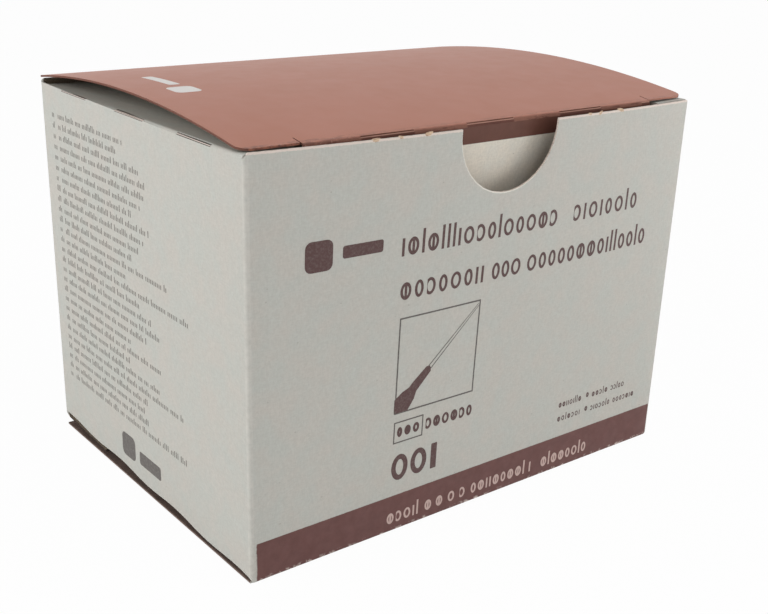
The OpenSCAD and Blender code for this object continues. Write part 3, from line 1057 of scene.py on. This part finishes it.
def makeNicks():
    draw = random.Random(3)
    deselect()
    bpy.ops.mesh.primitive_ico_sphere_add(subdivisions=2, radius=1)
    nick = bpy.context.object
    editAll(nick)
    bpy.ops.transform.vertex_random(offset=0.5, seed=2)
    leaveEdit()
    copies = []
    for x, share in nicks["places"].items():
        made = duplicate(nick)
        top = nicks["top"] - frontPanel["edgeFall"] * max(0, x)
        made.location = (x * mm, (bowAt(x) + nicks["sunk"]) * mm, top * mm)
        made.rotation_euler = (draw.uniform(-0.4, 0.4), draw.uniform(-0.3, 0.3), draw.uniform(-0.2, 0.2))
        made.scale = [size * share * draw.uniform(0.8, 1.1) * mm for size in nicks["size"]]
        copies.append(made)
    bpy.data.objects.remove(nick)
    tufts = joined(copies, "edge_nicks")
    giveMaterial(tufts, tuftMaterial)
    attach(tufts, "carton")


makeNicks()
print("edge nicks made")


# Needle strips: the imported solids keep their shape, sealing paper above and clear film below

def middle(node):
    low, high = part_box(node)
    return (low + high) / 2


stackFoot, stackTop = middle("needle_strip_right_1"), middle("needle_strip_right_10")
pouch = {
    "width": 19 * mm,      # a strip is five pouches side by side along y
    "reach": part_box("needle_strip_right_1")[1].x - stackFoot.x,
    "sideSeal": 1.6 * mm,
    "endSeal": 5.0 * mm,
    "sealSoft": 0.3 * mm,
    "ribs": 1.0 * mm,
    "labelHalf": 17.0 * mm,
    "labelSoft": 0.2 * mm,
    "rows": {1.2: 0.9, 3.4: 0.35, 5.0: 0.35},   # printed rows: mm from a pouch's middle: half height
    "rowSoft": 0.1 * mm,
    "colours": {
        "paper": (238, 238, 233),
        "paperShade": (226, 226, 220),
        "film": (208, 214, 216),
        "filmShade": (220, 225, 226),
        "print": (158, 170, 178),
        "seal": (214, 215, 210),
    },
}
pouchColour = {name: srgb(*value) for name, value in pouch["colours"].items()}


def pouchPlace(surface):
    # distances from the middle line of the nearest pouch, and from its middle along that line
    rise = surface.minus(surface.axis("Z"), stackFoot.z)
    # the stacks lean back on the sloping bottom flaps, so a strip's middle depends on its height
    lean = surface.times(rise, (stackTop.y - stackFoot.y) / (stackTop.z - stackFoot.z))
    depth = surface.minus(surface.minus(surface.axis("Y"), stackFoot.y), lean)
    along = surface.size(surface.minus(surface.size(surface.axis("X")), stackFoot.x))
    return surface.fromRepeat(depth, pouch["width"]), along


def stripMaterial():
    # paper above with a plain print on each pouch and knurled seals, clear film below
    surface = Surface("sealed_pouch")
    upwards = surface.axis("Z", surface.nodes["Texture Coordinate"].outputs["Normal"])
    onTop = surface.ramp(upwards, 0.6, 0.8)
    fibres = surface.fibres((1800, 600, 1800))
    paper = surface.blend(surface.ramp(fibres, 0.35, 0.7), pouchColour["paper"], pouchColour["paperShade"])
    film = surface.blend(surface.uneven(300, 0, 1, 2), pouchColour["film"], pouchColour["filmShade"])
    fromMiddle, along = pouchPlace(surface)
    soft = pouch["sealSoft"]
    sideSeal = surface.past(fromMiddle, pouch["width"] / 2 - pouch["sideSeal"] - soft, soft)
    endSeal = surface.past(along, pouch["reach"] - pouch["endSeal"] - soft, soft)
    ribs = surface.fromRepeat(surface.plus(along, fromMiddle), pouch["ribs"])
    knurl = surface.times(surface.ramp(ribs, 0.1 * pouch["ribs"], 0.4 * pouch["ribs"]),
                          surface.larger(sideSeal, endSeal))
    paper = surface.blend(surface.times(knurl, 0.8), paper, pouchColour["seal"])
    onLabel = surface.upTo(along, pouch["labelHalf"], pouch["labelSoft"])
    for place, half in pouch["rows"].items():
        away = surface.size(surface.minus(fromMiddle, place * mm))
        row = surface.upTo(away, half * mm + pouch["rowSoft"], pouch["rowSoft"])
        paper = surface.blend(surface.times(row, onLabel), paper, pouchColour["print"])
    base = surface.blend(onTop, film, paper)
    surface.bump(surface.plus(fibres, surface.times(knurl, 2)), 0.03 * mm, 0.5)
    return surface.finish(base, surface.ramp(onTop, 0, 1, 0.25, 0.7), 0.4)


pouchMaterial = stripMaterial()
for name in stripNames:
    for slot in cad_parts[name].material_slots:
        slot.material = pouchMaterial
print("needle strips dressed")


# Camera at the photograph's view: angles in degrees, lengths in metres, the lens in mm

cameraView = {
    "azimuth": -38.621,
    "elevation": 20.080,
    "roll": 2.017,
    "distance": 0.329565,
    "aim": (0.0, 0.0, 0.050),
    "slide": (0.005982, -0.010438),
    "nearest": 0.01,
    "lens": 53.965,
    "sensor": 36.0,
}


def makeCamera():
    azimuth, elevation = math.radians(cameraView["azimuth"]), math.radians(cameraView["elevation"])
    back = Vector((math.sin(azimuth) * math.cos(elevation), -math.cos(azimuth) * math.cos(elevation),
                   math.sin(elevation)))
    right = Vector((0, 0, 1)).cross(back).normalized()
    up = back.cross(right)
    roll = Matrix.Rotation(math.radians(cameraView["roll"]), 3, back)
    right, up = roll @ right, roll @ up
    place = Vector(cameraView["aim"]) + back * cameraView["distance"]
    place += right * cameraView["slide"][0] + up * cameraView["slide"][1]
    deselect()
    bpy.ops.object.camera_add()
    camera = bpy.context.object
    camera.name = "photo_camera"
    camera.matrix_world = Matrix.Translation(place) @ Matrix((right, up, back)).transposed().to_4x4()
    camera.data.lens = cameraView["lens"]
    camera.data.sensor_width = cameraView["sensor"]
    camera.data.clip_start = cameraView["nearest"]
    bpy.context.scene.camera = camera


# World, floor and lamps

studio = {
    "ambient": 0.34,
    "floorSize": 8,
    "floorDrop": 0.05 * mm,     # the floor lies this far below the part's foot
    "floorColour": (236, 236, 236),
    "floorGlow": 0.97,
    "aim": (0, 0, 0.05),
    "lamps": {
        # name: (place, size, power in watts)
        "left_softbox": ((-0.75, 0.10, 0.30), 0.6, 3.25),
        "front_softbox": ((0.44, -0.38, 0.09), 0.4, 1.4),
        "top_softbox": ((0.12, -0.48, 0.80), 0.7, 2.2),
    },
}


def mathNode(tree, kind, first, second):
    node = tree.nodes.new("ShaderNodeMath")
    node.operation = kind
    tree.links.new(first, node.inputs[0])
    if hasattr(second, "links"):
        tree.links.new(second, node.inputs[1])
    else:
        node.inputs[1].default_value = second
    return node.outputs[0]


def backgroundShare(tree):
    # 1 for rays that should meet the plain white background
    path = tree.nodes.new("ShaderNodeLightPath").outputs
    seen = mathNode(tree, "MAXIMUM", path["Is Camera Ray"], path["Is Glossy Ray"])
    return mathNode(tree, "MAXIMUM", seen, path["Is Transmission Ray"])


def mixShaders(tree, share, under, over, output):
    mix = tree.nodes.new("ShaderNodeMixShader")
    tree.links.new(share, mix.inputs["Fac"])
    tree.links.new(under.outputs[0], mix.inputs[1])
    tree.links.new(over.outputs[0], mix.inputs[2])
    tree.links.new(mix.outputs[0], tree.nodes[output].inputs["Surface"])


def makeWorld():
    world = bpy.data.worlds.new("studio")
    bpy.context.scene.world = world
    world.use_nodes = True
    tree = world.node_tree
    plain, white = tree.nodes["Background"], tree.nodes.new("ShaderNodeBackground")
    for background, strength in ((plain, studio["ambient"]), (white, 1.0)):
        background.inputs["Color"].default_value = (1, 1, 1, 1)
        background.inputs["Strength"].default_value = strength
    mixShaders(tree, backgroundShare(tree), plain, white, "World Output")


def makeFloor():
    deselect()
    bpy.ops.mesh.primitive_plane_add(size=studio["floorSize"], location=(0, 0, -studio["floorDrop"]))
    floor = bpy.context.object
    floor.name = "floor"
    paper = bpy.data.materials.new("floor_paper")
    paper.use_nodes = True
    tree = paper.node_tree
    lit = tree.nodes["Principled BSDF"]
    lit.inputs["Base Color"].default_value = srgb(*studio["floorColour"])
    lit.inputs["Roughness"].default_value = 0.9
    glow = tree.nodes.new("ShaderNodeEmission")
    glow.inputs["Strength"].default_value = 1.0
    share = mathNode(tree, "MULTIPLY", backgroundShare(tree), studio["floorGlow"])
    mixShaders(tree, share, lit, glow, "Material Output")
    giveMaterial(floor, paper)


def makeLamps():
    for name, (place, size, power) in studio["lamps"].items():
        deselect()
        bpy.ops.object.light_add(type="AREA", location=place)
        lamp = bpy.context.object
        lamp.name = name
        lamp.data.size = size
        lamp.data.energy = power
        aim = Vector(studio["aim"]) - Vector(place)
        lamp.rotation_euler = aim.to_track_quat("-Z", "Y").to_euler()


makeCamera()
makeWorld()
makeFloor()
makeLamps()
bpy.context.scene.view_settings.view_transform = "Standard"
print("camera, floor and lamps set")
